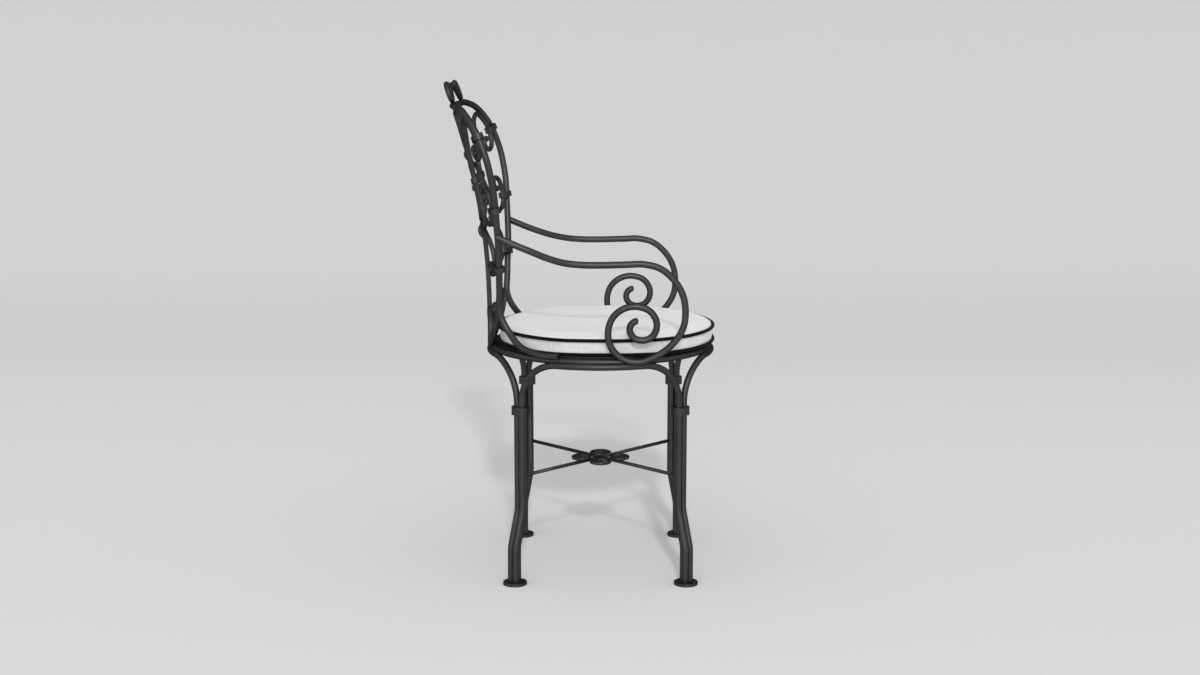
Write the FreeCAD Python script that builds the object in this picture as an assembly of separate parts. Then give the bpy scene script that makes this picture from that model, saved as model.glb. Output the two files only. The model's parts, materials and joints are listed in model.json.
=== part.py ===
import FreeCAD, Part
import math
import os
from FreeCAD import Vector

# Garden armchair of bent round bar, millimetres, +Z up, the sitter faces -Y.
# The origin is on the floor, at the middle of the chair's box.
# "back" is a distance behind the seat's centre, "x" one to the sitter's left.

# Bar stock
BAR = 12.7
SCROLL_BAR = 9.5
STRETCHER_BAR = 7.0
ORIGIN_BEHIND_SEAT = 35.0

# Seat ring, rim and slats
RING_R = 214.5
RING_Z = 446.0
RIM_WIDTH = 10.0
RIM_DEPTH = 6.0
RIM_BITE = 1.2
RIM_RISE = 8.9
SLAT_WIDTH = 25.0
SLAT_THICK = 3.0
SLAT_COUNT = 5
SLAT_PITCH = 62.0

# Arches and legs
ARCH_BITE = 3.0
ARCH_OUTSET = 4.7
ARCH_CORNER_R = 82.0
KINK_LOW_Z = 73.0
KINK_HIGH_Z = 146.0
KINK_OUT = 19.1
KINK_BEND_R = 60.0
LEG_CLEAR = 0.05
LEG_COLLAR_BELOW_BEND = 6.5
LEG_COLLAR_TALL = 16.0
LEG_COLLAR_WALL = 4.6
FOOT_R = 23.0
FOOT_THICK = 5.6
FOOT_EDGE = 1.2

# Stretcher and rosette
STRETCHER_Z = 212.0
STRETCHER_BITE = 1.0
ROSETTE_CURL_R = 18.6
ROSETTE_TURN_R = 10.6
ROSETTE_EYE_R = 7.5
ROSETTE_GAP = 0.2

# Arms
ARM_OUTSET = 1.1
ARM_TIP_R = 5.0

# Back surface: distance behind the ring, plan radius well above it, and its lean
BACK_OUTSET = 5.5
BACK_PLAN_R = 452.0
BACK_EASE = 120.0
LEAN_FROM = 74.0
LEAN_R = 1187.0

# Hoop, and the collars on its scrolls
HOOP_CORNER_R = 88.0
HOOP_FOOT_OUTSET = 4.8
HOOP_BITE = 2.2
COLLAR_TALL = 11.0
COLLAR_WALL = 3.6
COLLAR_CLEAR = 0.15
BUNDLE_WALL = 2.4
EYE_BALL_R = 6.2

# Small pieces behind the middle bar
UPPER_BOW_BAR = 5.5
UPPER_BOW_RISE = 372.0
UPPER_BOW_REACH = 7.0
UPPER_BOW_HALF = 10.0
STEM_COLLAR_RISE = 309.0
STEM_COLLAR_BEHIND = 12.7
LOWER_BOW_BAR = 8.0
LOWER_BOW_RISE = 224.0
LOWER_BOW_REACH = 7.8
LOWER_BOW_HALF = 12.0

# Cushion
CUSHION_INSET = 2.1
CUSHION_SIDE_INSET = 10.4
CUSHION_CORNER_R = 120.0
CUSHION_FLANK_R = 450.0
CUSHION_FORWARD = 11.0
CUSHION_GAP = 0.4
CUSHION_SIDE = 26.1
CUSHION_CROWN = 15.0
CUSHION_DRAW_IN = 2.2
CROWN_REACH = 92.0
CROWN_SHOULDER = 0.62
CROWN_START_SLOPE = 1.2
PAD_FOOT_INSET = 5.0
PIPING = 5.0

# Tolerances
TINY = 1e-6
STRAIGHT = 1e-4
SAME_PLACE = 1e-3

# Sizes that follow from others
ARM_X = RING_R + ARM_OUTSET
BACK_BEHIND = RING_R + BACK_OUTSET
CUSHION_R = RING_R - CUSHION_INSET
CUSHION_HALF_WIDTH = CUSHION_R - CUSHION_SIDE_INSET


def spot(x, back, z):
    """A point given by its side offset, its distance behind the seat's centre and its height."""
    return Vector(x, back - ORIGIN_BEHIND_SEAT, z)


def on_back(x, rise, behind=0.0):
    """A point on the bowed, leaning surface that the back's bars follow, by its rise above the ring."""
    seat_bow = 1.0 / (2.0 * RING_R)
    top_bow = 1.0 / (2.0 * BACK_PLAN_R)
    bow = top_bow + (seat_bow - top_bow) * math.exp(-rise / BACK_EASE)
    lean = max(0.0, rise - LEAN_FROM) ** 2 / (2.0 * LEAN_R)
    return spot(x, BACK_BEHIND + lean - bow * x * x + behind, RING_Z + rise)


def mirrored(shape):
    """The same piece on the chair's other side."""
    return shape.mirror(Vector(0, 0, 0), Vector(1, 0, 0))


def quarter_turned(shape, quarters):
    """The piece turned about the seat's upright centre line."""
    turned = shape.copy()
    turned.rotate(spot(0, 0, 0), Vector(0, 0, 1), 90.0 * quarters)
    return turned


def circle_tangent(before, here, after):
    """The direction at the middle one of three points, along the circle through them."""
    first = here - before
    second = after - here
    first_share = 1.0 / (first.Length * first.Length)
    second_share = 1.0 / (second.Length * second.Length)
    return (first * first_share + second * second_share).normalize()


def end_tangent(end, near, near_tangent):
    """The direction at an end point, mirrored from its neighbour's about their chord."""
    chord = (end - near).normalize()
    return (chord * (2.0 * chord.dot(near_tangent)) - near_tangent).normalize()


def path_tangents(points, closed):
    """One unit tangent for each point of a path."""
    count = len(points)
    inner = range(count) if closed else range(1, count - 1)
    tangents = {i: circle_tangent(points[i - 1], points[i], points[(i + 1) % count]) for i in inner}
    if not closed:
        tangents[0] = end_tangent(points[0], points[1], tangents[1])
        tangents[count - 1] = end_tangent(points[-1], points[-2], tangents[count - 2])
    return [tangents[i] for i in range(count)]


def arc_edge(start, tangent, end):
    """The arc that leaves start along tangent and reaches end, or a line where it is straight."""
    chord = end - start
    along = chord.normalize() if chord.Length > TINY else chord
    chord = end - start
    side = tangent - along * tangent.dot(along)
    if side.Length < STRAIGHT:
        return Part.makeLine(start, end)
    turn = math.atan2(side.Length, tangent.dot(along))
    rise = chord.Length / 2.0 * math.tan(turn / 2.0)
    middle = (start + end) * 0.5 + side.normalize() * rise
    return Part.Arc(start, middle, end).toShape()


def biarc(start, start_tangent, end, end_tangent_):
    """Two arcs, tangent where they meet, from one point and direction to another."""
    chord = end - start
    total = start_tangent + end_tangent_
    a = 2.0 * (start_tangent.dot(end_tangent_) - 1.0)
    b = -2.0 * chord.dot(total)
    c = chord.dot(chord)
    if abs(a) < TINY:
        reach = -c / b
    else:
        reach = (-b - math.sqrt(b * b - 4.0 * a * c)) / (2.0 * a)
    joint = (start + start_tangent * reach + end - end_tangent_ * reach) * 0.5
    first = arc_edge(start, start_tangent, joint)
    last = arc_edge(end, end_tangent_ * -1.0, joint)
    last.reverse()
    return [first, last]


def smooth_path(points, closed=False, first_tangent=None, last_tangent=None):
    """Tangent arcs through the points, as a list of edges."""
    tangents = path_tangents(points, closed)
    if first_tangent is not None:
        tangents[0] = first_tangent
    if last_tangent is not None:
        tangents[-1] = last_tangent
    edges = []
    spans = len(points) if closed else len(points) - 1
    for i in range(spans):
        j = (i + 1) % len(points)
        edges.extend(biarc(points[i], tangents[i], points[j], tangents[j]))
    return edges


def bar_along(edges, diameter):
    """A round bar swept along tangent edges."""
    wire = Part.Wire(edges)
    first = wire.OrderedEdges[0]
    start = wire.OrderedVertexes[0].Point
    at_start = first.getParameterByLength(0.0)
    if (first.valueAt(at_start) - start).Length > SAME_PLACE:
        at_start = first.getParameterByLength(first.Length)
    profile = Part.Wire([Part.makeCircle(diameter / 2.0, start, first.tangentAt(at_start))])
    return wire.makePipeShell([profile], True, False)


def bar_through(points, diameter, **how):
    """A round bar bent through the given points."""
    return bar_along(smooth_path(points, **how), diameter)


def one_solid(shape):
    """The largest solid of a cut shape."""
    return max(shape.Solids, key=lambda solid: solid.Volume)


def coped(bar, *mates):
    """The bar with its ends and sides cut to lie on the bars that it is welded to."""
    for mate in mates:
        bar = one_solid(bar.cut(mate))
    return bar


def band(points, radii, axis, tall):
    """A solid band whose outline wraps circles of the given radii round two or three points."""
    count = len(points)
    pieces = []
    for i in range(count):
        foot = points[i] - axis * (tall / 2.0)
        pieces.append(Part.makeCylinder(radii[i], tall, foot, axis))
    pairs = [(i, (i + 1) % count) for i in range(count if count > 2 else 1)]
    for i, j in pairs:
        pieces.append(tangent_web(points[i], radii[i], points[j], radii[j], axis, tall))
    if count > 2:
        core = Part.Face(Part.makePolygon([p - axis * (tall / 2.0) for p in points + points[:1]]))
        pieces.append(core.extrude(axis * tall))
    whole = pieces[0].multiFuse(pieces[1:]).removeSplitter()
    return one_solid(whole)


def wrapped_band(points, bars, wall, axis, tall):
    """A strip bent tight round two or three bars of the given diameters."""
    inside = [bar / 2.0 + COLLAR_CLEAR for bar in bars]
    outside = [radius + wall for radius in inside]
    return one_solid(band(points, outside, axis, tall).cut(band(points, inside, axis, tall)))


def tangent_web(start, start_r, end, end_r, axis, tall):
    """The slab between two circles, bounded by their common tangents."""
    along = (end - start).normalize()
    side = axis.cross(along)
    lean = (start_r - end_r) / (end - start).Length
    off = math.sqrt(1.0 - lean * lean)
    low = axis * (-tall / 2.0)
    corners = []
    for sign in (1.0, -1.0):
        normal = along * lean + side * (off * sign)
        pair = [start + normal * start_r + low, end + normal * end_r + low]
        corners.extend(pair if sign > 0 else pair[::-1])
    return Part.Face(Part.makePolygon(corners + corners[:1])).extrude(axis * tall)


def save(name, shape):
    """Write one node of the chair."""
    bad = [solid for solid in shape.Solids if not solid.isValid() or solid.Volume <= 0.0]
    note = "  BAD" if bad else ""
    print("%-25s solids %d  volume %9.1f%s" % (name, len(shape.Solids), shape.Volume, note))
    shape.exportStep(os.path.join("parts", name + ".step"))


# Seat ring
def make_ring():
    """The round bar that carries the seat, its seam on a diagonal, where no arch touches it."""
    ring = Part.makeTorus(RING_R, BAR / 2.0, spot(0, 0, RING_Z), Vector(0, 0, 1))
    ring.rotate(spot(0, 0, RING_Z), Vector(0, 0, 1), 45.0)
    return ring


RIM_TOP = RING_Z + RIM_RISE
RIM_OUT = RING_R - BAR / 2.0 + RIM_BITE


def make_rim(ring):
    """The flat hoop inside the ring, under the edge of the cushion."""
    foot = spot(0, 0, RIM_TOP - RIM_DEPTH)
    outer = Part.makeCylinder(RIM_OUT, RIM_DEPTH, foot)
    inner = Part.makeCylinder(RIM_OUT - RIM_WIDTH, RIM_DEPTH, foot)
    return one_solid(outer.cut(inner).cut(ring))


def make_slats():
    """Flat strips across the rim that carry the cushion."""
    reach = RIM_OUT - RIM_WIDTH
    hole = Part.makeCylinder(reach, SLAT_THICK, spot(0, 0, RIM_TOP - SLAT_THICK))
    slats = []
    for i in range(SLAT_COUNT):
        back = (i - (SLAT_COUNT - 1) / 2.0) * SLAT_PITCH - SLAT_WIDTH / 2.0
        corner = spot(-reach, back, RIM_TOP - SLAT_THICK)
        slats.append(Part.makeBox(2.0 * reach, SLAT_WIDTH, SLAT_THICK, corner).common(hole))
    return Part.makeCompound([one_solid(slat) for slat in slats])


# Arches and legs
ARCH_R = RING_R + ARCH_OUTSET
ARCH_Z = RING_Z - math.sqrt((BAR - ARCH_BITE) ** 2 - ARCH_OUTSET ** 2)
PAIR_ANGLE = math.asin(BAR / 2.0 / ARCH_R)
# The inner bar nests behind the pair, and lies on it where all three slant through the kink
KINK_SLOPE = math.atan2(KINK_OUT, KINK_HIGH_Z - KINK_LOW_Z)
INNER_INSET = BAR * math.sqrt(3.0) / 2.0 / math.cos(KINK_SLOPE) + LEG_CLEAR
ARCH_HEAD_Z = ARCH_Z - ARCH_CORNER_R
LEG_COLLAR_Z = ARCH_HEAD_Z - LEG_COLLAR_BELOW_BEND - LEG_COLLAR_TALL


def leg_spot(out, aside, z):
    """A point beside the diagonal on which a leg stands."""
    diagonal = math.sqrt(0.5)
    return spot((out + aside) * diagonal, (aside - out) * diagonal, z)


def leg_edges(out, aside, top):
    """The centre line of one leg bar: up from the foot, inward at the kink, and up again."""
    trim = KINK_BEND_R * math.tan(KINK_SLOPE / 2.0)
    low = leg_spot(out + KINK_OUT, aside, KINK_LOW_Z)
    high = leg_spot(out, aside, KINK_HIGH_Z)
    slant = (high - low).normalize()
    up = Vector(0, 0, 1)
    low_in = low - up * trim
    low_out = low + slant * trim
    high_in = high - slant * trim
    high_out = high + up * trim
    return [
        Part.makeLine(leg_spot(out + KINK_OUT, aside, FOOT_THICK), low_in),
        arc_edge(low_in, up, low_out),
        Part.makeLine(low_out, high_in),
        arc_edge(high_in, slant, high_out),
        Part.makeLine(high_out, leg_spot(out, aside, top)),
    ]


def arch_half_edges():
    """Half an arch: a leg bar, the quarter turn at its head and the level run to the middle."""
    out = ARCH_R * math.cos(PAIR_ANGLE)
    edges = leg_edges(out, -BAR / 2.0, ARCH_HEAD_Z)
    leg_turn = math.pi / 4.0 - PAIR_ANGLE
    steps = 3
    points = []
    tangents = []
    for i in range(steps + 1):
        lift = math.pi / 2.0 * i / steps
        turn = leg_turn - ARCH_CORNER_R * (1.0 - math.cos(lift)) / ARCH_R
        z = ARCH_HEAD_Z + ARCH_CORNER_R * math.sin(lift)
        points.append(spot(ARCH_R * math.sin(turn), -ARCH_R * math.cos(turn), z))
        level = Vector(-math.cos(turn), -math.sin(turn), 0.0)
        tangents.append(level * math.sin(lift) + Vector(0, 0, 1) * math.cos(lift))
    for i in range(steps):
        edges.extend(biarc(points[i], tangents[i], points[i + 1], tangents[i + 1]))
    return edges, points[-1]


def make_arch():
    """The front arch: one bar that is two legs and the bow between them."""
    edges, head = arch_half_edges()
    crown = spot(0, -ARCH_R, ARCH_Z)
    other = [edge.mirror(Vector(0, 0, 0), Vector(1, 0, 0)) for edge in edges]
    far_head = Vector(-head.x, head.y, head.z)
    level = Part.Arc(head, crown, far_head).toShape()
    return bar_along(edges + [level] + other[::-1], BAR)


def make_inner_leg():
    """The third bar of a leg, on the inner side of the pair."""
    out = ARCH_R * math.cos(PAIR_ANGLE) - INNER_INSET
    return bar_along(leg_edges(out, 0.0, LEG_COLLAR_Z + LEG_COLLAR_TALL), BAR)


def make_leg_collar():
    """The band round the three bars of a leg."""
    out = ARCH_R * math.cos(PAIR_ANGLE)
    z = LEG_COLLAR_Z + LEG_COLLAR_TALL / 2.0
    pair = [leg_spot(out, BAR / 2.0, z), leg_spot(out, -BAR / 2.0, z)]
    centres = pair + [leg_spot(out - INNER_INSET, 0.0, z)]
    return wrapped_band(centres, [BAR] * 3, LEG_COLLAR_WALL, Vector(0, 0, 1), LEG_COLLAR_TALL)


def make_foot():
    """The round plate under a leg."""
    out = ARCH_R * math.cos(PAIR_ANGLE) + KINK_OUT - INNER_INSET / 3.0
    plate = Part.makeCylinder(FOOT_R, FOOT_THICK, leg_spot(out, 0.0, 0.0))
    rims = [edge for edge in plate.Edges if edge.Closed and edge.CenterOfMass.z > FOOT_THICK / 2.0]
    return plate.makeFillet(FOOT_EDGE, rims)


# Stretcher
def make_stretchers():
    """Two crossing rods between the inner leg bars, the second let in round the first."""
    reach = ARCH_R * math.cos(PAIR_ANGLE) - INNER_INSET - BAR / 2.0 + STRETCHER_BITE
    rods = []
    for side in (1.0, -1.0):
        start = spot(-reach * math.sqrt(0.5) * side, -reach * math.sqrt(0.5), STRETCHER_Z)
        end = spot(reach * math.sqrt(0.5) * side, reach * math.sqrt(0.5), STRETCHER_Z)
        rods.append(Part.makeCylinder(STRETCHER_BAR / 2.0, (end - start).Length, start, end - start))
    return rods


def spiral(centre_x, outer, inner, from_turn, sweep, count):
    """Plan points on a spiral that shrinks evenly from its outer to its inner radius."""
    points = []
    for i in range(count):
        share = i / (count - 1.0)
        radius = outer + (inner - outer) * share
        turn = math.radians(from_turn + sweep * share)
        points.append((centre_x + radius * math.cos(turn), radius * math.sin(turn)))
    return points


def make_rosette_curl():
    """One loop of the rosette, lying between two rods: round from rod to rod, then curled in."""
    reach = (ROSETTE_CURL_R + STRETCHER_BAR + ROSETTE_GAP) * math.sqrt(2.0)
    flat = spiral(reach, ROSETTE_CURL_R, ROSETTE_CURL_R, 225.0, 270.0, 8)
    flat += spiral(reach, ROSETTE_CURL_R, ROSETTE_TURN_R, 135.0, 90.0, 4)[1:]
    flat += spiral(reach, ROSETTE_TURN_R, ROSETTE_EYE_R, 225.0, 180.0, 5)[1:]
    return bar_through([spot(x, y, STRETCHER_Z) for x, y in flat], STRETCHER_BAR)


# Back
# The hoop's left half, as side offset and rise above the ring, above and below its rounded corner
HOOP_CROWN = [(0, 468), (60, 470), (117, 471)]
HOOP_FLANK = [(201, 329), (179, 254), (160, 189), (139, 129), (130, 74)]
# Its foot, from above the ring to where it lies on it: degrees from the rear, rise and overhang
HOOP_FOOT = [(39.0, 32.0, 2.5), (46.0, 11.0, 0.5), (55.0, 2.0, 0.0), (69.0, 0.0, 0.0)]


def hoop_outline():
    """The hoop's left half from the crown to the waist, with its corner."""
    shoulder_x, top = HOOP_CROWN[-1]
    corner = []
    for turn in (60.0, 30.0, 0.0):
        angle = math.radians(turn)
        rise = top - HOOP_CORNER_R * (1.0 - math.sin(angle))
        corner.append((shoulder_x + HOOP_CORNER_R * math.cos(angle), rise))
    return HOOP_CROWN + corner + HOOP_FLANK


def hoop_foot():
    """The hoop's left foot, down to the ring and along it."""
    reach = RING_R + HOOP_FOOT_OUTSET
    rest_z = RING_Z + math.sqrt((BAR - HOOP_BITE) ** 2 - HOOP_FOOT_OUTSET ** 2)
    points = []
    for turn, lift, over in HOOP_FOOT:
        angle = math.radians(turn)
        radius = reach + over
        points.append(spot(radius * math.sin(angle), radius * math.cos(angle), rest_z + lift))
    return points


HOOP_PATH = [on_back(x, rise) for x, rise in hoop_outline()] + hoop_foot()


def make_hoop():
    """The long bar that frames the back."""
    right = [Vector(-p.x, p.y, p.z) for p in HOOP_PATH[1:]]
    return bar_through(right[::-1] + HOOP_PATH, BAR)


def nearest_direction(points, here):
    """The direction of a path where it passes nearest to a point."""
    wire = Part.Wire(smooth_path(points))
    edge = min(wire.Edges, key=lambda e: e.distToShape(Part.Vertex(here))[0])
    return edge.tangentAt(edge.Curve.parameter(here)).normalize()


# The arm's centre line: distance before the seat's centre, inset from the arm's plane, rise above the ring
ARM_SIDE = [
    (-194, 38, 231), (-162, 36.5, 217), (-130, 31.5, 204.5), (-100, 19, 194), (-70, 6.8, 186.7),
    (-35, 1.3, 183.3), (0, 0, 183), (45, 0, 184), (83, 0, 184.4), (112, 0, 176), (133.4, 0, 158.5),
    (152, 0, 129), (158, 0, 94.3), (154, 0, 66), (137.9, 0, 39), (102.7, 0, 11.2), (65.4, 0, 0.8),
    (29, 0, 16), (14, 0, 54), (29, 0, 92), (66.9, 0, 105.6), (95, 0, 94), (104.8, 0, 69.9), (97, 0, 50),
    (78.3, 0, 42.1), (60, 0, 49), (54.4, 0, 64.2), (60, 0, 75), (70.7, 0, 78.7),
]


def make_arm():
    """The left arm: from the hoop forward, down round the front, up into its scroll and rounded off."""
    points = [spot(ARM_X - inset, -front, RING_Z + rise) for front, inset, rise in ARM_SIDE]
    arm = bar_through(points, BAR)
    tip = min(arm.Edges, key=lambda edge: edge.CenterOfMass.distanceToPoint(points[-1]))
    return arm.makeFillet(ARM_TIP_R, [tip])


def back_bar(flat):
    """A bar bent in the back's surface through side offsets and rises."""
    return bar_through([on_back(x, rise) for x, rise in flat], SCROLL_BAR)


# The bars of the back's left half, as side offset and rise above the ring
CORNER_SCROLL = [
    (161, 396), (151, 395), (147, 385), (156, 375), (171, 378), (181, 391), (183.5, 410), (180, 425),
    (169.5, 437.5), (154, 447), (134, 440), (113, 416), (96, 389), (85, 362), (80.5, 344), (80.5, 326),
    (90, 310), (103, 292), (107, 269), (100, 251), (86, 241),
]
MID_SCROLL = [
    (153, 295), (144, 299), (143, 310), (154, 317), (168, 312), (173, 297), (171.5, 278), (163, 261),
    (147, 252), (129, 252), (113, 258),
]
WAIST_SCROLL = [
    (109, 168), (101, 172), (94, 164), (98, 154), (110, 152), (124, 160), (132, 176), (132, 196),
    (120, 215), (94, 228.5), (60, 235), (30, 239), (4, 241),
]
LYRE = [
    (42, 442), (33, 443), (32, 451), (42, 455), (53, 449), (54, 435), (42, 414), (24, 392), (11, 374),
    (16, 359), (38, 353), (58, 350), (68, 339), (69.5, 322), (68, 302), (65, 274), (50, 257), (24, 250),
    (0, 252),
]
BASE_SCROLL = [
    (44, 4), (70, 20), (92, 40), (108, 60), (115, 77), (109, 91), (97, 91), (94, 82), (101, 75),
]
BASE_LEAF = [(0, 71), (28, 63), (46, 48), (51, 30), (42, 12), (34, 2)]
FINIAL = [
    (0, 509), (28, 507), (50, 500), (70, 489), (92, 481), (108, 484), (113, 497), (104, 508), (88, 512),
    (72, 508), (69, 498), (78, 492), (88, 496),
]
FINIAL_TOUCH_X = 92.0
# Where each collar's two bars are: the hoop and a scroll, then a corner scroll and the lyre
HOOP_COLLARS = {"top": (199.0, 418.0, 183.5, 413.0), "middle": (188.0, 281.0, 171.5, 280.0),
                "waist": (152.0, 167.0, 131.0, 171.0)}
BUNDLE_COLLAR = (80.5, 329.0, 69.6, 327.0)
# A bow's bend, as shares of its reach behind the middle bar and of half its height
BOW_BEND = [(0.14, 1.0), (0.8, 0.55), (1.0, 0.0), (0.8, -0.55), (0.14, -1.0)]


def finial_spot(x, rise):
    """A point of the finial: it leans with the back but is flat across it."""
    point = on_back(FINIAL_TOUCH_X, rise)
    return Vector(x, point.y, point.z)


def eye_ball(flat):
    """The forged knob at the inner end of a scroll."""
    return Part.makeSphere(EYE_BALL_R, on_back(*flat[0]))


def make_finial():
    """The bar over the hoop's crown, curled at both ends."""
    left = [finial_spot(x, rise) for x, rise in FINIAL]
    right = [Vector(-p.x, p.y, p.z) for p in left[1:]]
    return bar_through(right[::-1] + left, SCROLL_BAR)


def make_two_bar_collar(first, first_bar, second, second_bar, along, wall, mates):
    """A collar that wraps two bars, square to the first."""
    span = second - first
    axis = (along - span * (along.dot(span) / span.dot(span))).normalize()
    return coped(wrapped_band([first, second], [first_bar, second_bar], wall, axis, COLLAR_TALL), *mates)


def make_bow(middle, half, reach, diameter):
    """A small bow behind the middle bar."""
    points = [on_back(0.0, middle + half * up, reach * behind) for behind, up in BOW_BEND]
    return bar_through(points, diameter)


def make_stem_collar(stem):
    """The square collar on the middle bar, deeper at the rear."""
    here = on_back(0.0, STEM_COLLAR_RISE)
    along = (on_back(0.0, STEM_COLLAR_RISE + 1.0) - here).normalize()
    back = along.cross(Vector(1, 0, 0)) * -1.0
    half = SCROLL_BAR / 2.0 + COLLAR_WALL
    corner = here - Vector(half, 0, 0) - back * half - along * (COLLAR_TALL / 2.0)
    depth = 2.0 * half + STEM_COLLAR_BEHIND - COLLAR_WALL
    wide = Vector(2.0 * half, 0, 0)
    deep = back * depth
    outline = Part.makePolygon([corner, corner + wide, corner + wide + deep, corner + deep, corner])
    block = Part.Face(outline).extrude(along * COLLAR_TALL)
    upright = [edge for edge in block.Edges if abs(edge.tangentAt(0.0).dot(along)) > 1.0 - TINY]
    return one_solid(block.makeFillet(COLLAR_WALL, upright).cut(stem))


def make_stem():
    """The middle bar of the back, from the ring's height to the hoop's crown."""
    top = HOOP_CROWN[0][1]
    steps = 3
    leaning = [LEAN_FROM + (top - LEAN_FROM) * i / steps for i in range(steps + 1)]
    return back_bar([(0.0, rise) for rise in [0.0] + leaning])


# Cushion
def cushion_arcs():
    """The eight arcs of the cushion's plan, each as centre, radius and the two turns it spans."""
    shift = CUSHION_FLANK_R - CUSHION_HALF_WIDTH
    to_round = CUSHION_R - CUSHION_CORNER_R
    to_flank = CUSHION_FLANK_R - CUSHION_CORNER_R
    side_x = (to_flank ** 2 - to_round ** 2 - shift ** 2) / (2.0 * shift)
    side_y = math.sqrt(to_round ** 2 - side_x ** 2)
    round_turn = math.atan2(side_y, side_x)
    flank_turn = math.atan2(side_y, side_x + shift)
    half = [
        (-shift, 0.0, CUSHION_FLANK_R, -flank_turn, flank_turn),
        (side_x, side_y, CUSHION_CORNER_R, flank_turn, round_turn),
        (0.0, 0.0, CUSHION_R, round_turn, math.pi - round_turn),
        (-side_x, side_y, CUSHION_CORNER_R, math.pi - round_turn, math.pi - flank_turn),
    ]
    other = [(-x, -y, radius, low + math.pi, high + math.pi) for x, y, radius, low, high in half]
    return half + other


def cushion_spot(arc, turn, inset, z):
    """A point of one plan arc, moved in from the piping by the inset."""
    centre_x, centre_y, radius = arc[:3]
    reach = radius - inset
    return spot(centre_x + reach * math.cos(turn), centre_y + reach * math.sin(turn) - CUSHION_FORWARD, z)


def cushion_outline(inset, z):
    """The cushion's plan: round at front and rear, drawn in at the sides, as one closed wire."""
    edges = []
    for arc in cushion_arcs():
        low, high = arc[3:]
        ends = [cushion_spot(arc, turn, inset, z) for turn in (low, (low + high) / 2.0, high)]
        edges.append(Part.Arc(*ends).toShape())
    return Part.Wire(edges)


PAD_FOOT = RIM_TOP + CUSHION_GAP
LOW_PIPING_Z = PAD_FOOT + PIPING / 2.0
HIGH_PIPING_Z = LOW_PIPING_Z + CUSHION_SIDE


def make_pad():
    """The stuffed pad: flat underneath, drawn in at its side, crowned on top."""
    seam = PIPING / 2.0
    arc = cushion_arcs()[0]

    def edge_spot(inset, z):
        return cushion_spot(arc, arc[3], inset, z)

    foot = (seam + PAD_FOOT_INSET, PAD_FOOT)
    crown_z = HIGH_PIPING_Z + CUSHION_CROWN
    crown = (seam + CROWN_REACH, crown_z)
    shoulder = (seam + CROWN_REACH / 4.0, HIGH_PIPING_Z + CUSHION_CROWN * CROWN_SHOULDER)
    low_seam = edge_spot(seam, LOW_PIPING_Z)
    high_seam = edge_spot(seam, HIGH_PIPING_Z)
    waist = edge_spot(seam + CUSHION_DRAW_IN, (LOW_PIPING_Z + HIGH_PIPING_Z) / 2.0)
    inward = (edge_spot(1.0, 0.0) - edge_spot(0.0, 0.0)).normalize()
    up_in = (inward + Vector(0, 0, CROWN_START_SLOPE)).normalize()
    edges = biarc(edge_spot(*foot), inward * -1.0, low_seam, Vector(0, 0, 1))
    edges.append(Part.Arc(low_seam, waist, high_seam).toShape())
    edges.extend(smooth_path([high_seam, edge_spot(*shoulder), edge_spot(*crown)],
                             first_tangent=up_in, last_tangent=inward))
    side = cushion_outline(0.0, PAD_FOOT).makePipeShell([Part.Wire(edges)], False, False)
    caps = [Part.Face(cushion_outline(*end)) for end in (foot, crown)]
    skin = Part.makeShell(side.Faces + caps)
    skin.sewShape()
    return Part.Solid(skin)


def make_piping(z):
    """The covered cord sewn round an edge of the pad."""
    return bar_along(cushion_outline(0.0, z).Edges, PIPING)


def save_pair(name, left):
    """Write a piece of the left side and its mirror image on the right."""
    save(name + "_left", left)
    save(name + "_right", mirrored(left))


def build_base():
    """Write the seat, legs and stretcher, and return the ring and the arches."""
    ring = make_ring()
    save("seat_ring", ring)
    save("seat_rim", make_rim(ring))
    save("seat_slats", make_slats())

    arch = make_arch()
    arches = [coped(quarter_turned(arch, i), ring) for i in range(4)]
    for name, piece in zip(("front", "left", "rear", "right"), arches):
        save("arch_" + name, piece)

    inner = make_inner_leg()
    collar = make_leg_collar()
    foot = make_foot()
    inners = [quarter_turned(inner, i) for i in range(4)]
    for i, name in enumerate(("front_left", "rear_left", "rear_right", "front_right")):
        save("leg_inner_bar_" + name, inners[i])
        save("leg_collar_" + name, quarter_turned(collar, i))
        save("foot_plate_" + name, quarter_turned(foot, i))

    whole, split = make_stretchers()
    save("stretcher_long_rod", coped(whole, *inners))
    halves = sorted(split.cut([whole] + inners).Solids, key=lambda solid: solid.Volume)[-2:]
    save("stretcher_split_rod", Part.makeCompound(halves))
    curl = make_rosette_curl()
    save("stretcher_rosette", Part.makeCompound([quarter_turned(curl, i) for i in range(4)]))
    return ring, arches


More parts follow.
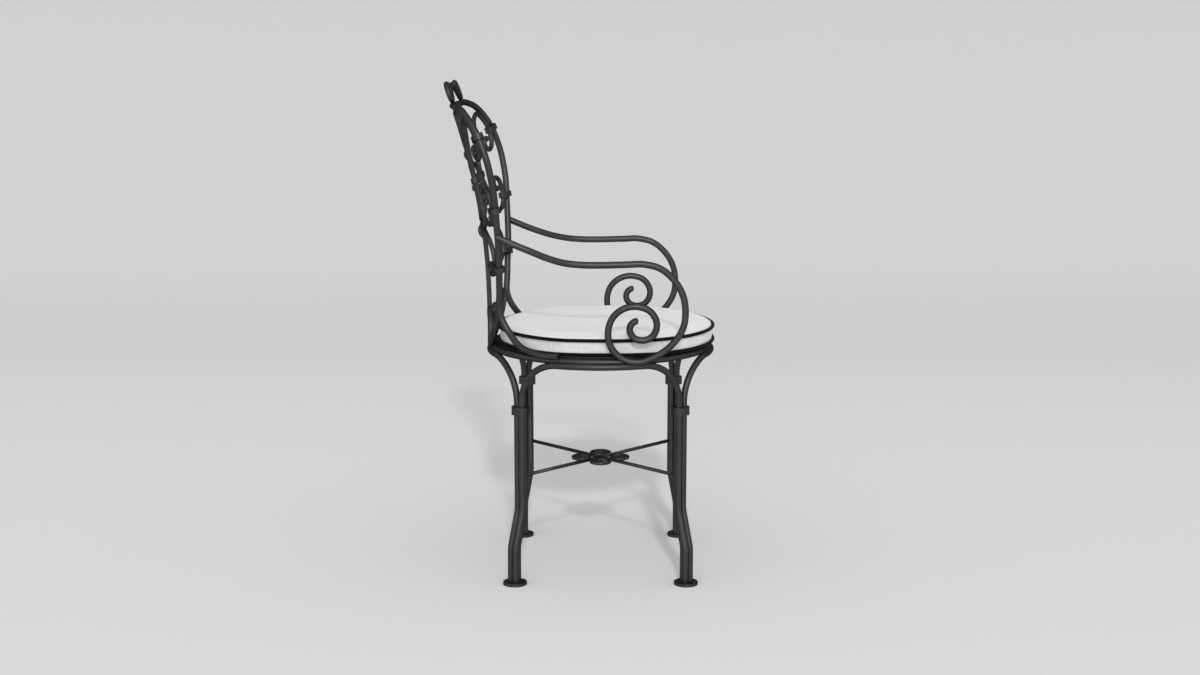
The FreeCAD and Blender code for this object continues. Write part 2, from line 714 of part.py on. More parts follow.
def build_back(ring, hoop):
    """Write the bars, collars and small pieces inside the hoop."""
    stem = coped(make_stem(), ring, hoop)
    save("back_stem", stem)
    corner = back_bar(CORNER_SCROLL).fuse(eye_ball(CORNER_SCROLL))
    middle = coped(back_bar(MID_SCROLL).fuse(eye_ball(MID_SCROLL)), corner)
    waist = coped(back_bar(WAIST_SCROLL), stem)
    lyre = coped(back_bar(LYRE), stem)
    base = coped(back_bar(BASE_SCROLL), ring)
    save_pair("corner_scroll", corner)
    save_pair("mid_scroll", middle)
    save_pair("waist_scroll", waist)
    save_pair("lyre_bar", lyre)
    save_pair("base_scroll", base)
    save_pair("base_leaf", coped(back_bar(BASE_LEAF), ring, stem, base))

    held = {"top": corner, "middle": middle, "waist": waist}
    for name, (hoop_x, hoop_rise, bar_x, bar_rise) in HOOP_COLLARS.items():
        first = on_back(hoop_x, hoop_rise)
        second = on_back(bar_x, bar_rise)
        along = nearest_direction(HOOP_PATH, first)
        mates = [hoop, held[name]]
        collar = make_two_bar_collar(first, BAR, second, SCROLL_BAR, along, COLLAR_WALL, mates)
        save_pair("hoop_collar_" + name, collar)
    x, rise = BUNDLE_COLLAR[:2]
    first = on_back(x, rise)
    second = on_back(*BUNDLE_COLLAR[2:])
    along = on_back(x, rise + 1.0) - first
    mates = [corner, lyre]
    collar = make_two_bar_collar(first, SCROLL_BAR, second, SCROLL_BAR, along, BUNDLE_WALL, mates)
    save_pair("bundle_collar", collar)

    upper_bow = make_bow(UPPER_BOW_RISE, UPPER_BOW_HALF, UPPER_BOW_REACH, UPPER_BOW_BAR)
    lower_bow = make_bow(LOWER_BOW_RISE, LOWER_BOW_HALF, LOWER_BOW_REACH, LOWER_BOW_BAR)
    save("stem_bow_upper", coped(upper_bow, stem))
    save("stem_collar", make_stem_collar(stem))
    save("stem_bow_lower", coped(lower_bow, stem, waist, mirrored(waist)))


def main():
    """Build every piece and write it."""
    os.makedirs("parts", exist_ok=True)
    ring, arches = build_base()
    hoop = coped(make_hoop(), ring)
    save("back_hoop", hoop)
    save_pair("arm", coped(make_arm(), ring, arches[1], hoop))
    build_back(ring, hoop)
    save("finial", coped(make_finial(), hoop))
    save("cushion_pad", make_pad())
    save("cushion_piping_low", make_piping(LOW_PIPING_Z))
    save("cushion_piping_high", make_piping(HIGH_PIPING_Z))


main()
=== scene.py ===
"""Looks of a garden armchair: coated iron bar, forged collars and a cushion with piped edges.

Everything is in metres in the chair's own frame: +Z is up, the sitter faces -Y, and the origin is
on the floor in the middle of the chair's box.
"""

import json
import logging
import math
from collections.abc import Sequence
from dataclasses import dataclass
from enum import Enum

import bpy
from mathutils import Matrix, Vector, kdtree, noise

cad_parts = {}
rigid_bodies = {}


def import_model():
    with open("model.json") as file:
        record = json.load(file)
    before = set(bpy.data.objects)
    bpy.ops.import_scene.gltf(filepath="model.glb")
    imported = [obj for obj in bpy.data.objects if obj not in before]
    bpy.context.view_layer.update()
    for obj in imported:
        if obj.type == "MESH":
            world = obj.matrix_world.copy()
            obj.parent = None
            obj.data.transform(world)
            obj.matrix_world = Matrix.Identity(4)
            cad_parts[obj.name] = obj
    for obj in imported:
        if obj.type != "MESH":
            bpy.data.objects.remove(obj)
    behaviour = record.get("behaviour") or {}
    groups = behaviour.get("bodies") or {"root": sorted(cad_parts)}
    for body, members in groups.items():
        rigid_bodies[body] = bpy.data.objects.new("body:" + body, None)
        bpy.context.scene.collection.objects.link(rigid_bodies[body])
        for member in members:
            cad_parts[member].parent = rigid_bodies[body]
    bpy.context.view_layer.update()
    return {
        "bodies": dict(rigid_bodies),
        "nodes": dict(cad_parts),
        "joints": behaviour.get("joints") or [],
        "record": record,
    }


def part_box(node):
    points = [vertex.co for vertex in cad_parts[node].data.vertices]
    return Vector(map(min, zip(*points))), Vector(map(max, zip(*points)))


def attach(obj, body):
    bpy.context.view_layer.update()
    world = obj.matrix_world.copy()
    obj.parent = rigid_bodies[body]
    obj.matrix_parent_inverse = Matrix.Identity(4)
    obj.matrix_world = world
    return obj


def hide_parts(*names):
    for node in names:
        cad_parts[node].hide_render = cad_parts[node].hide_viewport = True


LOG = logging.getLogger("armchair")
MM = 0.001


class Body(Enum):
    """The chair's two bodies."""

    FRAME = "frame"
    CUSHION = "cushion"


class Slot(Enum):
    """The record's material slots."""

    IRON = "iron_bar"
    CLOTH = "cushion_cloth"
    PIPING = "piping_cord"


def linear(hex_colour: str) -> tuple[float, float, float, float]:
    """Turn an sRGB hex colour into linear values.

    Args:
        hex_colour: Six hex digits after a hash sign.

    Returns:
        Red, green, blue and an alpha of one.
    """
    channels = [int(hex_colour[i : i + 2], 16) / 255 for i in (1, 3, 5)]
    bent = [c / 12.92 if c <= 0.04045 else ((c + 0.055) / 1.055) ** 2.4 for c in channels]
    return bent[0], bent[1], bent[2], 1.0


def add_node(
    tree: bpy.types.NodeTree,
    kind: str,
    inputs: dict[str | int, object] | None = None,
    stops: Sequence[tuple[float, str]] = (),
    **settings: object,
) -> bpy.types.Node:
    """Add a shader node, set it up and link what comes into it.

    Args:
        tree: The node tree to add to.
        kind: Blender's name for the node.
        inputs: For each input, by name or number, a value or the socket to link from.
        stops: Where the node is a colour ramp, rising places along it with their hex colours.
        settings: The node's own properties.

    Returns:
        The new node.
    """
    node = tree.nodes.new(kind)
    for name, value in settings.items():
        setattr(node, name, value)
    for number, (place, colour) in enumerate(stops):
        ramp = node.color_ramp.elements
        stop = ramp[number] if number < len(ramp) else ramp.new(1.0)
        stop.position = place
        stop.color = linear(colour)
    for name, value in (inputs or {}).items():
        if isinstance(value, bpy.types.NodeSocket):
            tree.links.new(value, node.inputs[name])
        else:
            node.inputs[name].default_value = value
    return node


def new_material(name: str) -> tuple[bpy.types.Material, bpy.types.NodeTree]:
    """Make an empty node material.

    Args:
        name: The material's name.

    Returns:
        The material and its cleared node tree.
    """
    material = bpy.data.materials.new(name)
    material.use_nodes = True
    material.node_tree.nodes.clear()
    return material, material.node_tree


@dataclass(frozen=True)
class CoatedIron:
    """Forged iron bar under a baked graphite powder coat with metal flake in it.

    The flake makes the coat answer light as a dim metal does. The forging leaves long shallow
    dimples under it, and the baking a fine orange peel with a satin gloss.
    """

    name: str = "graphite_flake_coated_forged_iron"
    coat: str = "#4B4B4D"
    thin_coat: str = "#535355"
    metallic: float = 0.9
    roughness: float = 0.42
    # How wide the coat's cloudy patches, the dimples and the bumps of the orange peel are.
    patch: float = 55 * MM
    dimple: float = 14 * MM
    peel: float = 1.6 * MM
    dimple_depth: float = 1.1 * MM
    peel_depth: float = 0.12 * MM

    def material(self) -> bpy.types.Material:
        """Build the material.

        Returns:
            The material.
        """
        material, tree = new_material(self.name)
        place = add_node(tree, "ShaderNodeTexCoord").outputs["Object"]
        patches, dimples, peel = (
            add_node(
                tree, "ShaderNodeTexNoise", {"Vector": place, "Scale": 1 / width, "Detail": detail}
            ).outputs["Fac"]
            for width, detail in ((self.patch, 3.0), (self.dimple, 1.0), (self.peel, 2.0))
        )
        colour = add_node(
            tree,
            "ShaderNodeValToRGB",
            {"Fac": patches},
            [(0.35, self.coat), (0.70, self.thin_coat)],
        )
        forged = add_node(
            tree,
            "ShaderNodeBump",
            {"Height": dimples, "Distance": self.dimple_depth, "Strength": 0.35},
        )
        skin = add_node(
            tree,
            "ShaderNodeBump",
            {
                "Height": peel,
                "Distance": self.peel_depth,
                "Strength": 0.4,
                "Normal": forged.outputs["Normal"],
            },
        )
        gloss = add_node(
            tree,
            "ShaderNodeMapRange",
            {"Value": patches, "To Min": self.roughness - 0.05, "To Max": self.roughness + 0.08},
        )
        shader = add_node(
            tree,
            "ShaderNodeBsdfPrincipled",
            {
                "Base Color": colour.outputs["Color"],
                "Roughness": gloss.outputs["Result"],
                "Normal": skin.outputs["Normal"],
                "Metallic": self.metallic,
                "Specular Tint": linear("#000000"),
            },
        )
        add_node(tree, "ShaderNodeOutputMaterial", {"Surface": shader.outputs["BSDF"]})
        return material


@dataclass(frozen=True)
class Canvas:
    """Acrylic canvas in a plain weave, for outdoor use.

    It is matt, with slubs along the threads, soft clouds where it has been handled, and a faint
    bloom at its edges. The real threads cross every 0.9 mm, too fine to show from the camera, so
    the weave is drawn at twice that.
    """

    name: str
    thread: str
    # The second colour is painted shade: the darker tone put in the weave's dips between the
    # crossing threads.
    thread_gap_shade: str
    thread_step: float = 1.8 * MM
    thread_depth: float = 0.10 * MM
    slub: float = 6 * MM
    cloud: float = 90 * MM
    roughness: float = 0.85
    sheen: float = 0.25

    def material(self) -> bpy.types.Material:
        """Build the material.

        Returns:
            The material.
        """
        material, tree = new_material(self.name)
        place = add_node(tree, "ShaderNodeTexCoord").outputs["Object"]
        turns = add_node(
            tree,
            "ShaderNodeVectorMath",
            {"Vector": place, "Scale": 2 * math.pi / self.thread_step},
            operation="SCALE",
        )
        threads = add_node(
            tree, "ShaderNodeVectorMath", {"Vector": turns.outputs["Vector"]}, operation="SINE"
        )
        split = add_node(tree, "ShaderNodeSeparateXYZ", {"Vector": threads.outputs["Vector"]})
        crossed = add_node(
            tree,
            "ShaderNodeMath",
            {0: split.outputs["X"], 1: split.outputs["Y"], 2: split.outputs["Z"]},
            operation="MULTIPLY_ADD",
        )
        weave = add_node(
            tree,
            "ShaderNodeMapRange",
            {"Value": crossed.outputs[0], "From Min": -2.0, "From Max": 2.0},
        )
        slubs, clouds = (
            add_node(
                tree, "ShaderNodeTexNoise", {"Vector": place, "Scale": 1 / width, "Detail": detail}
            ).outputs["Fac"]
            for width, detail in ((self.slub, 4.0), (self.cloud, 2.0))
        )
        blend = add_node(
            tree,
            "ShaderNodeMath",
            {0: weave.outputs["Result"], 1: slubs, 2: clouds},
            operation="MULTIPLY_ADD",
        )
        # Painted shade: where the weave dips, the cloth takes the darker colour as if shaded
        # between threads. The slubs and clouds vary the cloth's own tone.
        colour = add_node(
            tree,
            "ShaderNodeValToRGB",
            {"Fac": blend.outputs[0]},
            [(0.45, self.thread_gap_shade), (0.95, self.thread)],
        )
        bump = add_node(
            tree,
            "ShaderNodeBump",
            {
                "Height": weave.outputs["Result"],
                "Distance": self.thread_depth,
                "Strength": 0.5,
            },
        )
        shader = add_node(
            tree,
            "ShaderNodeBsdfPrincipled",
            {
                "Base Color": colour.outputs["Color"],
                "Roughness": self.roughness,
                "Normal": bump.outputs["Normal"],
                "Sheen Weight": self.sheen,
                "Sheen Roughness": 0.5,
                "Specular IOR Level": 0.2,
            },
        )
        add_node(tree, "ShaderNodeOutputMaterial", {"Surface": shader.outputs["BSDF"]})
        return material


def link_mesh(name: str, mesh: bpy.types.Mesh) -> bpy.types.Object:
    """Put a mesh into the scene.

    Args:
        name: The piece's name.
        mesh: The finished mesh.

    Returns:
        The new object.
    """
    piece = bpy.data.objects.new(name, mesh)
    bpy.context.scene.collection.objects.link(piece)
    return piece


def mesh_of(name: str, points: list[Vector], faces: list[tuple[int, ...]]) -> bpy.types.Object:
    """Make a smooth-shaded piece from points and faces.

    Args:
        name: The piece's name.
        points: The corners.
        faces: Corner numbers of each face.

    Returns:
        The new object.
    """
    mesh = bpy.data.meshes.new(name)
    mesh.from_pydata(points, [], faces)
    mesh.polygons.foreach_set("use_smooth", [True] * len(mesh.polygons))
    mesh.update()
    return link_mesh(name, mesh)


@dataclass
class CushionPlan:
    """The cushion's plan: round at front and rear, drawn in at the sides for the arm scrolls."""

    centre_y: float
    half_width: float
    half_depth: float
    corner_r: float = 120 * MM
    flank_r: float = 450 * MM
    measuring_steps: int = 1440

    def arcs(self) -> list[tuple[float, float, float, float, float]]:
        """Lay out the plan as eight arcs that run into each other.

        Returns:
            For each arc, its centre, its radius and the two turns it spans.
        """
        shift = self.flank_r - self.half_width
        to_round = self.half_depth - self.corner_r
        to_flank = self.flank_r - self.corner_r
        x = (to_flank**2 - to_round**2 - shift**2) / (2 * shift)
        y = math.sqrt(to_round**2 - x**2)
        round_turn = math.atan2(y, x)
        flank_turn = math.atan2(y, x + shift)
        half = [
            (-shift, 0.0, self.flank_r, -flank_turn, flank_turn),
            (x, y, self.corner_r, flank_turn, round_turn),
            (0.0, 0.0, self.half_depth, round_turn, math.pi - round_turn),
            (-x, y, self.corner_r, math.pi - round_turn, math.pi - flank_turn),
        ]
        other_half = [(-x, -y, r, low + math.pi, high + math.pi) for x, y, r, low, high in half]
        return half + other_half

    def outline(self, count: int) -> list[tuple[Vector, Vector]]:
        """Walk round the plan in even steps.

        Args:
            count: How many points to give.

        Returns:
            For each step, a point of the seam line and the direction out of the cushion there.
        """
        arcs = self.arcs()
        lengths = [radius * (high - low) for _, _, radius, low, high in arcs]
        total = sum(lengths)
        walked = []
        for step in range(count):
            along = total * step / count
            number = 0
            while along > lengths[number]:
                along -= lengths[number]
                number += 1
            x, y, radius, low, _ = arcs[number]
            turn = low + along / radius
            outward = Vector((math.cos(turn), math.sin(turn), 0))
            walked.append((Vector((x, y + self.centre_y, 0)) + outward * radius, outward))
        return walked

    def seam_distances(self, places: list[Vector]) -> list[tuple[float, float]]:
        """Measure how far points lie from the seam line in plan.

        Args:
            places: The points.

        Returns:
            For each, its distance from the seam line and how far along the line that is.
        """
        count = self.measuring_steps
        tree = kdtree.KDTree(count)
        for number, (spot, _) in enumerate(self.outline(count)):
            tree.insert(spot, number)
        tree.balance()
        total = sum(radius * (high - low) for _, _, radius, low, high in self.arcs())
        found = [tree.find(Vector((place.x, place.y, 0))) for place in places]
        return [(gap, total * number / count) for _, number, gap in found]


@dataclass
class Cushion:
    """The loose seat cushion: a stuffed pad of off-white canvas, piped in black at both edges."""

    # How finely the pad is laid out: steps round it, rows up its side and rows in over its edge.
    steps: int = 288
    band_rows: int = 8
    edge_rows: int = 24
    # The seams and their cords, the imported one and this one, which the cloth meets inside of its
    # middle by a share of its radius. Steps along the cord are counted for each step of the pad.
    solid_piping_r: float = 2.5 * MM
    piping_r: float = 3.3 * MM
    meeting: float = 0.8
    seam_lift: float = 0.8 * MM
    cord_steps: int = 4
    cord_sides: int = 14
    cord_ripple: float = 0.02
    cord_ripple_step: float = 0.35
    # The pad's side, the shoulder close behind the upper seam, the crown, and the foot with its
    # rounding in and up. A place is raised where it faces up at least this much.
    draw_in: float = 2.2 * MM
    shoulder: float = 6.1 * MM
    shoulder_reach: float = 2.6 * MM
    crown: float = 2.0 * MM
    crown_reach: float = 190 * MM
    edge_reach: float = 90 * MM
    facing_up: float = 0.25
    foot_inset: float = 7.5 * MM
    foot_in: float = 1.0 * MM
    foot_up: float = 0.8 * MM
    # The stuffing, and how near the seams and the underside the cloth is held.
    voxel: float = 4.0 * MM
    pressure: float = 4.0
    shrink: float = -0.012
    frames: int = 20
    swell_cap: float = 4.0 * MM
    held_reach: float = 7 * MM
    held_height: float = 3 * MM
    held_foot: float = 1.5 * MM
    # The puckers: height, spacing along the seam, length, and how they fade away from it.
    pucker: float = 0.8 * MM
    pucker_pitch: float = 13.0 * MM
    pucker_length: float = 38 * MM
    pucker_height: float = 20 * MM
    pucker_start: float = 2 * MM
    pucker_fade: float = 11 * MM
    pucker_reach: float = 40 * MM
    flat_foot: float = 1.0 * MM

    def __post_init__(self) -> None:
        """Read the seams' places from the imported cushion."""
        low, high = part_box("cushion_piping_high")
        self.high_z = (low.z + high.z) / 2 + self.seam_lift
        self.seam_inset = self.piping_r * self.meeting
        self.low_z = sum(corner.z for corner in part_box("cushion_piping_low")) / 2
        self.foot_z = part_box("cushion_pad")[0].z
        self.plan = CushionPlan(
            centre_y=(low.y + high.y) / 2,
            half_width=(high.x - low.x) / 2 - self.solid_piping_r,
            half_depth=(high.y - low.y) / 2 - self.solid_piping_r,
        )

    def crown_rise(self, inward: float) -> float:
        """Work out how high the top stands over its seam.

        Args:
            inward: The distance in from the seam.

        Returns:
            The height.
        """
        inward = max(0.0, inward)
        share = min(1.0, inward / self.crown_reach)
        shoulder = self.shoulder * (1 - math.exp(-inward / self.shoulder_reach))
        return shoulder + self.crown * (1 - (1 - share) ** 3)

    def profile(self) -> list[tuple[float, float]]:
        """Lay out the pad's side from foot to crown.

        Returns:
            Insets from the seam line with their heights.
        """
        seam = self.seam_inset
        turn_up = [
            (self.foot_inset, self.foot_z),
            (seam + self.foot_in, self.foot_z + self.foot_up),
        ]
        band = []
        for i in range(self.band_rows + 1):
            share = i / self.band_rows
            inset = seam + self.draw_in * math.sin(math.pi * share)
            band.append((inset, self.low_z + (self.high_z - self.low_z) * share))
        top = []
        for i in range(1, self.edge_rows + 1):
            inward = self.edge_reach * (i / self.edge_rows) ** 2
            top.append((seam + inward, self.high_z + self.crown_rise(inward)))
        return turn_up + band + top

    def pad_shape(self) -> bpy.types.Object:
        """Build the closed pad, not yet stuffed, in even squares of cloth.

        Returns:
            The pad, crowned.
        """
        walk = self.plan.outline(self.steps)
        profile = self.profile()
        points = []
        for inset, z in profile:
            points.extend(spot - outward * inset + Vector((0, 0, z)) for spot, outward in walk)
        last = (len(profile) - 1) * self.steps
        faces = [tuple(reversed(range(self.steps))), tuple(range(last, last + self.steps))]
        for low in range(0, last, self.steps):
            for i in range(self.steps):
                j = (i + 1) % self.steps
                faces.append((low + i, low + j, low + self.steps + j, low + self.steps + i))
        pad = mesh_of("cushion_pad_cloth", points, faces)
        remesh = pad.modifiers.new("even_cloth", "REMESH")
        remesh.mode = "VOXEL"
        remesh.voxel_size = self.voxel
        self.apply_modifiers(pad)
        places = [vertex.co.copy() for vertex in pad.data.vertices]
        for vertex, (inward, _) in zip(pad.data.vertices, self.plan.seam_distances(places)):
            if vertex.co.z > self.high_z + self.crown_rise(self.edge_reach / 2):
                vertex.co.z = self.high_z + self.crown_rise(inward - self.seam_inset)
        return pad

    def stuff(self, pad: bpy.types.Object) -> None:
        """Fill the pad by a cloth simulation held at both seams, and keep the result.

        Args:
            pad: The pad's mesh, changed in place.
        """
        before = [vertex.co.copy() for vertex in pad.data.vertices]
        held = pad.vertex_groups.new(name="seams")
        held.add(self.seam_vertices(before), 1.0, "REPLACE")
        cloth = pad.modifiers.new("stuffing", "CLOTH")
        cloth.settings.use_pressure = True
        cloth.settings.uniform_pressure_force = self.pressure
        cloth.settings.vertex_group_mass = held.name
        cloth.settings.shrink_min = self.shrink
        cloth.settings.effector_weights.gravity = 0.0
        cloth.point_cache.frame_end = self.frames
        scene = bpy.context.scene
        for frame in range(1, self.frames + 1):
            scene.frame_set(frame)
        self.apply_modifiers(pad)
        for vertex, start in zip(pad.data.vertices, before):
            moved = vertex.co - start
            if moved.length > self.swell_cap:
                moved *= self.swell_cap / moved.length
            place = start + moved
            place.z = max(place.z, self.foot_z)
            vertex.co = place
        scene.frame_set(1)
        pad.vertex_groups.clear()

    def seam_vertices(self, places: list[Vector]) -> list[int]:
        """Find the vertices that lie on either seam or on the flat underside.

        Args:
            places: The pad's vertices.

        Returns:
            Their numbers.
        """
        chosen = []
        distances = self.plan.seam_distances(places)
        for number, (place, (inward, _)) in enumerate(zip(places, distances)):
            seam_gap = min(abs(place.z - self.high_z), abs(place.z - self.low_z))
            on_seam = inward < self.held_reach and seam_gap < self.held_height
            if on_seam or place.z < self.foot_z + self.held_foot:
                chosen.append(number)
        return chosen

    @staticmethod
    def apply_modifiers(piece: bpy.types.Object) -> None:
        """Turn a piece's modifiers into its mesh.

        Args:
            piece: The piece, changed in place.
        """
        graph = bpy.context.evaluated_depsgraph_get()
        made = bpy.data.meshes.new_from_object(piece.evaluated_get(graph))
        piece.modifiers.clear()
        old = piece.data
        piece.data = made
        bpy.data.meshes.remove(old)
        made.polygons.foreach_set("use_smooth", [True] * len(made.polygons))

    def raise_edge(self, pad: bpy.types.Object) -> None:
        """Let the stuffing stand up behind the upper seam, where the simulation leaves it slack.

        Args:
            pad: The pad's mesh, changed in place.
        """
        places = [vertex.co.copy() for vertex in pad.data.vertices]
        facing = [vertex.normal.z for vertex in pad.data.vertices]
        for number, (inward, _) in enumerate(self.plan.seam_distances(places)):
            faces_up = facing[number] > self.facing_up
            if faces_up and self.seam_inset < inward < self.edge_reach:
                full = self.high_z + self.crown_rise(inward - self.seam_inset)
                pad.data.vertices[number].co.z = max(places[number].z, full)

    def gather_seams(self, pad: bpy.types.Object) -> None:
        """Add the small puckers that a sewn seam draws in the cloth beside it.

        Args:
            pad: The pad's mesh, changed in place.
        """
        places = [vertex.co.copy() for vertex in pad.data.vertices]
        outward = [vertex.normal.copy() for vertex in pad.data.vertices]
        for number, (inward, along) in enumerate(self.plan.seam_distances(places)):
            place = places[number]
            if inward > self.pucker_reach or place.z < self.foot_z + self.flat_foot:
                continue
            spot = (
                along / self.pucker_pitch,
                inward / self.pucker_length,
                place.z / self.pucker_height,
            )
            wave = noise.noise(Vector(spot))
            gap = inward + min(abs(place.z - self.high_z), abs(place.z - self.low_z))
            fade = math.exp(-gap / self.pucker_fade) * (1 - math.exp(-gap / self.pucker_start))
            pad.data.vertices[number].co = place + outward[number] * (wave * self.pucker * fade)

    def piping(self, name: str, z: float) -> bpy.types.Object:
        """Build the covered cord that is sewn into one edge.

        Args:
            name: The piece's name.
            z: The cord's height.

        Returns:
            The cord's piece.
        """
        sides = self.cord_sides
        steps = self.steps * self.cord_steps
        walk = self.plan.outline(steps)
        points = []
        for number, (spot, outward) in enumerate(walk):
            wave = noise.noise(Vector((number * self.cord_ripple_step, z / MM, 0.0)))
            radius = self.piping_r * (1 + self.cord_ripple * wave)
            centre = spot + Vector((0, 0, z))
            for side in range(sides):
                turn = 2 * math.pi * side / sides
                lift = Vector((0, 0, math.sin(turn))) + outward * math.cos(turn)
                points.append(centre + lift * radius)
        faces = []
        for i in range(steps):
            here, there = i * sides, ((i + 1) % steps) * sides
            for side in range(sides):
                other = (side + 1) % sides
                faces.append((here + side, there + side, there + other, here + other))
        return mesh_of(name, points, faces)

    def build(self, cloth: Canvas, cord: Canvas) -> list[bpy.types.Object]:
        """Make, stuff and dress the cushion.

        Args:
            cloth: The pad's finish.
            cord: The piping's finish.

        Returns:
            The pad and its two pipings.
        """
        pad = self.pad_shape()
        self.stuff(pad)
        smooth = pad.modifiers.new("smooth", "SUBSURF")
        smooth.levels = smooth.render_levels = 1
        self.apply_modifiers(pad)
        self.raise_edge(pad)
        self.gather_seams(pad)
        low = self.piping("cushion_piping_low_cord", self.low_z)
        high = self.piping("cushion_piping_high_cord", self.high_z)
        pad.data.materials.clear()
        pad.data.materials.append(cloth.material())
        cord_finish = cord.material()
        for piece in (low, high):
            piece.data.materials.append(cord_finish)
        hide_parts("cushion_pad")
        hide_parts("cushion_piping_low")
        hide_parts("cushion_piping_high")
        for piece in (pad, low, high):
            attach(piece, Body.CUSHION.value)
        return [pad, low, high]


@dataclass
class IronFrame:
    """The chair's iron: every bar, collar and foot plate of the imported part."""

    nodes: dict[str, bpy.types.Object]
    join_within: float = 0.01 * MM

    def build(self, finish: CoatedIron) -> list[bpy.types.Object]:
        """Dress the iron pieces.

        Args:
            finish: The coat.

        Returns:
            The dressed pieces.
        """
        coat = finish.material()
        iron = [piece for name, piece in self.nodes.items() if not name.startswith("cushion")]
        for piece in iron:
            piece.data.materials.clear()
            piece.data.materials.append(coat)
            weld = piece.modifiers.new("join_faces", "WELD")
            weld.merge_threshold = self.join_within
        return iron


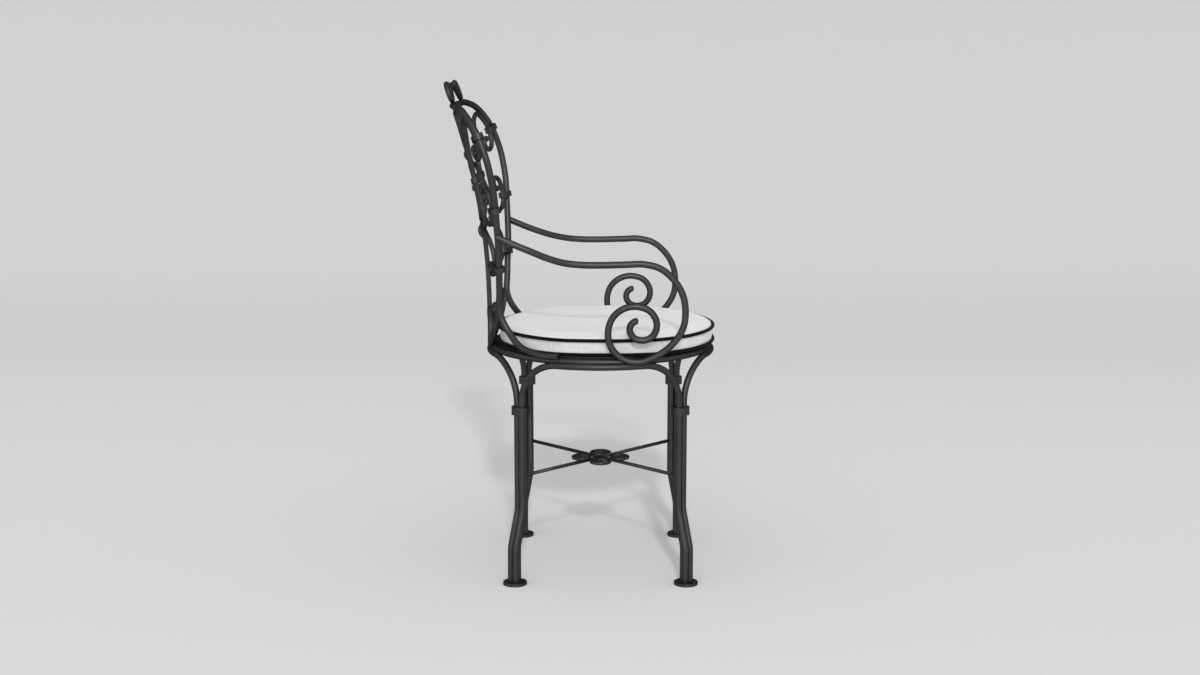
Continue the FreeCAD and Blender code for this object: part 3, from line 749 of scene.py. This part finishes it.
@dataclass
class Studio:
    """A pale floor that sweeps up behind the chair, a level sky, two lamps and the camera."""

    # The sheet: half its width, where its floor ends, its curve and its wall.
    floor_half: float = 60.0
    sweep_from: float = 2.3
    sweep_r: float = 1.6
    sweep_rows: int = 16
    wall_top: float = 7.0
    # The sheet's greys by metres walked along it away from the camera. They are painted light and
    # shade: paler near the camera, where more light falls, and darkest low in the sweep, where the
    # wall shades the floor.
    tones_from: float = -2.0
    tones_to: float = 6.0
    painted_light_tones: tuple[tuple[float, str], ...] = (
        (-0.7, "#DFDFDF"),
        (0.1, "#DCDCDC"),
        (0.8, "#DADADA"),
        (1.9, "#D5D5D5"),
        (2.5, "#D0D0D0"),
        (2.8, "#CECECE"),
        (3.3, "#D1D1D1"),
        (5.0, "#D5D5D5"),
    )
    # The light: the sky's level, and each lamp's watts a square metre, width in degrees and way.
    sky: float = 0.75
    sky_seen: str = "#D2D2D2"
    key_strength: float = 0.74
    key_width: float = 3.4
    key_way: tuple[float, float, float] = (1.74, 0.13, -1.0)
    fill_strength: float = 0.43
    fill_width: float = 33.0
    fill_way: tuple[float, float, float] = (1.0, 0.0, -0.22)
    lamp_away: float = 6.0
    # The camera: lens, picture width, the spot it aims at, degrees above level, metres away from
    # the spot, and how far it sees.
    lens_mm: float = 50.0
    sensor_mm: float = 36.0
    aim: tuple[float, float, float] = (0, -0.0341, 0.4566)
    tilt: float = 9.76
    away: float = 3.3214
    sight: float = 200.0

    def backdrop(self) -> bpy.types.Object:
        """Build the floor and the wall behind it as one sheet.

        Returns:
            The sheet.
        """
        profile = [(-self.floor_half, 0.0), (self.sweep_from, 0.0)]
        for i in range(1, self.sweep_rows + 1):
            turn = math.pi / 2 * i / self.sweep_rows
            across = self.sweep_from + self.sweep_r * math.sin(turn)
            profile.append((across, self.sweep_r * (1 - math.cos(turn))))
        profile.append((self.sweep_from + self.sweep_r, self.wall_top))
        points = []
        for x, z in profile:
            points.append(Vector((x, -self.floor_half, z)))
            points.append(Vector((x, self.floor_half, z)))
        faces = [(2 * i, 2 * i + 2, 2 * i + 3, 2 * i + 1) for i in range(len(profile) - 1)]
        return mesh_of("studio_backdrop", points, faces)

    def backdrop_material(self) -> bpy.types.Material:
        """Build the painted board: matt, paler towards the camera by painted light, darkest low in
        the sweep by painted shade, and clear from behind.

        Returns:
            The material.
        """
        material, tree = new_material("matt_painted_board")
        place = add_node(tree, "ShaderNodeTexCoord").outputs["Object"]
        split = add_node(tree, "ShaderNodeSeparateXYZ", {"Vector": place})
        walked = add_node(
            tree,
            "ShaderNodeMath",
            {0: split.outputs["X"], 1: split.outputs["Z"]},
            operation="ADD",
        )
        share = add_node(
            tree,
            "ShaderNodeMapRange",
            {"Value": walked.outputs[0], "From Min": self.tones_from, "From Max": self.tones_to},
        )
        length = self.tones_to - self.tones_from
        # Painted light and shade: the board is paler near the camera and darkest low in the sweep.
        painted_light_tones = [((metres - self.tones_from) / length, tone) for metres, tone in self.painted_light_tones]
        colour = add_node(tree, "ShaderNodeValToRGB", {"Fac": share.outputs["Result"]}, painted_light_tones)
        paint = add_node(
            tree, "ShaderNodeBsdfDiffuse", {"Color": colour.outputs["Color"], "Roughness": 0.5}
        )
        clear = add_node(tree, "ShaderNodeBsdfTransparent")
        behind = add_node(tree, "ShaderNodeNewGeometry").outputs["Backfacing"]
        both = add_node(
            tree, "ShaderNodeMixShader", {0: behind, 1: paint.outputs[0], 2: clear.outputs[0]}
        )
        add_node(tree, "ShaderNodeOutputMaterial", {"Surface": both.outputs[0]})
        return material

    def world(self) -> None:
        """Set a level sky that the camera and reflections see as the backdrop's grey."""
        world = bpy.data.worlds.new("level_sky")
        world.use_nodes = True
        tree = world.node_tree
        tree.nodes.clear()
        rays = add_node(tree, "ShaderNodeLightPath")
        seen = add_node(
            tree,
            "ShaderNodeMath",
            {0: rays.outputs["Is Camera Ray"], 1: rays.outputs["Is Glossy Ray"]},
            operation="MAXIMUM",
        )
        level = add_node(
            tree, "ShaderNodeBackground", {"Color": (1, 1, 1, 1), "Strength": self.sky}
        )
        grey = add_node(
            tree, "ShaderNodeBackground", {"Color": linear(self.sky_seen), "Strength": 1.0}
        )
        mix = add_node(
            tree,
            "ShaderNodeMixShader",
            {0: seen.outputs[0], 1: level.outputs[0], 2: grey.outputs[0]},
        )
        add_node(tree, "ShaderNodeOutputWorld", {"Surface": mix.outputs[0]})
        bpy.context.scene.world = world

    def hang_lamp(
        self, name: str, strength: float, width: float, way: tuple[float, float, float]
    ) -> None:
        """Hang one far-off lamp, whose light is as strong at the floor's edge as at the chair.

        Args:
            name: The lamp's name.
            strength: Its light on a surface that faces it, in watts a square metre.
            width: How wide the lamp looks from the chair, in degrees.
            way: The way it shines.
        """
        towards = Vector(way)
        light = bpy.data.lights.new(name, "SUN")
        light.energy = strength
        light.angle = math.radians(width)
        lamp = bpy.data.objects.new(name, light)
        lamp.location = -towards.normalized() * self.lamp_away
        lamp.rotation_mode = "QUATERNION"
        lamp.rotation_quaternion = towards.to_track_quat("-Z", "Y")
        bpy.context.scene.collection.objects.link(lamp)

    def lamps(self) -> None:
        """Hang the lamp that throws the soft shadow, and a broad weak one beside the camera."""
        self.hang_lamp("key_lamp", self.key_strength, self.key_width, self.key_way)
        self.hang_lamp("fill_lamp", self.fill_strength, self.fill_width, self.fill_way)

    def camera(self) -> None:
        """Set the camera at the chair's right side, a little above the seat."""
        camera = bpy.data.cameras.new("camera")
        camera.lens = self.lens_mm
        camera.sensor_width = self.sensor_mm
        camera.clip_end = self.sight
        viewer = bpy.data.objects.new("camera", camera)
        aim = Vector(self.aim)
        tilt = math.radians(self.tilt)
        viewer.location = aim + Vector((-math.cos(tilt), 0, math.sin(tilt))) * self.away
        viewer.rotation_mode = "QUATERNION"
        viewer.rotation_quaternion = (aim - viewer.location).to_track_quat("-Z", "Y")
        bpy.context.scene.collection.objects.link(viewer)
        bpy.context.scene.camera = viewer

    def build(self) -> bpy.types.Object:
        """Build the studio round the chair.

        Returns:
            The backdrop.
        """
        backdrop = self.backdrop()
        backdrop.data.materials.append(self.backdrop_material())
        self.world()
        self.lamps()
        self.camera()
        bpy.context.scene.view_settings.view_transform = "Standard"
        return backdrop


def main() -> None:
    """Build the chair's looks in order and report each sub-assembly."""
    logging.basicConfig(level=logging.INFO, format="%(name)s: %(message)s")
    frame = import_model()
    studio = Studio()
    LOG.info("studio: %s", studio.build().name)
    iron = IronFrame(frame["nodes"]).build(CoatedIron())
    LOG.info("iron pieces: %d", len(iron))
    cushion = Cushion().build(
        Canvas("woven_acrylic_canvas", thread="#EFEFEF", thread_gap_shade="#EBEBEB"),
        Canvas(
            "bias_cut_piping_canvas",
            thread="#0A0A0A",
            thread_gap_shade="#040404",
            thread_step=1.4 * MM,
            sheen=0.0,
        ),
    )
    LOG.info("cushion pieces: %s", ", ".join(piece.name for piece in cushion))


if __name__ == "__main__":
    main()
